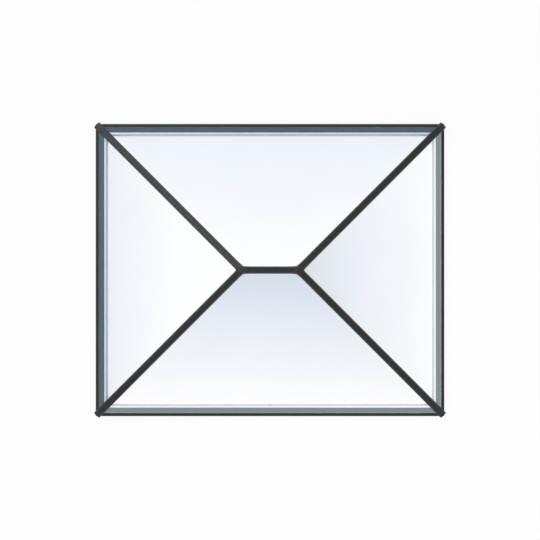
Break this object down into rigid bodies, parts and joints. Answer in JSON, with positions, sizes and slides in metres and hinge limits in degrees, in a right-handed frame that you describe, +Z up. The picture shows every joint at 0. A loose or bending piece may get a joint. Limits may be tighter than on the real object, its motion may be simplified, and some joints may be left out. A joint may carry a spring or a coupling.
{
  "type": "roof lantern",
  "caption": "Hipped rectangular roof lantern with dark grey bars and caps, pale inside frame and stepped double glazing.",
  "frame": {"origin": "on the underside of the eaves frame, below its middle", "axes": "+X along the ridge, the longer side; +Y towards the back slope; +Z up"},
  "size_m": [2.492, 2.092, 0.5512],
  "materials": {
    "frame_grey": "satin",
    "frame_white": "satin",
    "cap_grey": "matte",
    "cleat": "matte",
    "glass": "polished",
    "spacer": "matte",
    "seal": "matte",
    "thermal_break": "matte",
    "gasket": "matte",
    "bed_gasket": "matte"
  },
  "bodies": {
    "root": {"bed_gaskets": "bed_gasket", "cap_gaskets": "gasket", "corner_cleats": "cleat", "drip_trim_back": "frame_grey", "drip_trim_front": "frame_grey", "drip_trim_left": "frame_grey", "drip_trim_right": "frame_grey", "eaves_inner_back": "frame_white", "eaves_inner_front": "frame_white", "eaves_inner_left": "frame_white", "eaves_inner_right": "frame_white", "eaves_outer_back": "frame_grey", "eaves_outer_front": "frame_grey", "eaves_outer_left": "frame_grey", "eaves_outer_right": "frame_grey", "edge_seals": "seal", "glass_inner_back": "glass", "glass_inner_front": "glass", "glass_inner_left": "glass", "glass_inner_right": "glass", "glass_outer_back": "glass", "glass_outer_front": "glass", "glass_outer_left": "glass", "glass_outer_right": "glass", "hip_cap_back_left": "frame_grey", "hip_cap_back_right": "frame_grey", "hip_cap_front_left": "frame_grey", "hip_cap_front_right": "frame_grey", "hip_end_cap_back_left": "cap_grey", "hip_end_cap_back_right": "cap_grey", "hip_end_cap_front_left": "cap_grey", "hip_end_cap_front_right": "cap_grey", "hip_rafter_back_left": "frame_white", "hip_rafter_back_right": "frame_white", "hip_rafter_front_left": "frame_white", "hip_rafter_front_right": "frame_white", "nose_gaskets": "gasket", "ridge_beam": "frame_white", "ridge_cap": "frame_grey", "ridge_end_cap_left": "cap_grey", "ridge_end_cap_right": "cap_grey", "ridge_hub_left": "frame_white", "ridge_hub_right": "frame_white", "spacer_bars": "spacer", "thermal_breaks": "thermal_break"}
  },
  "joints": []
}
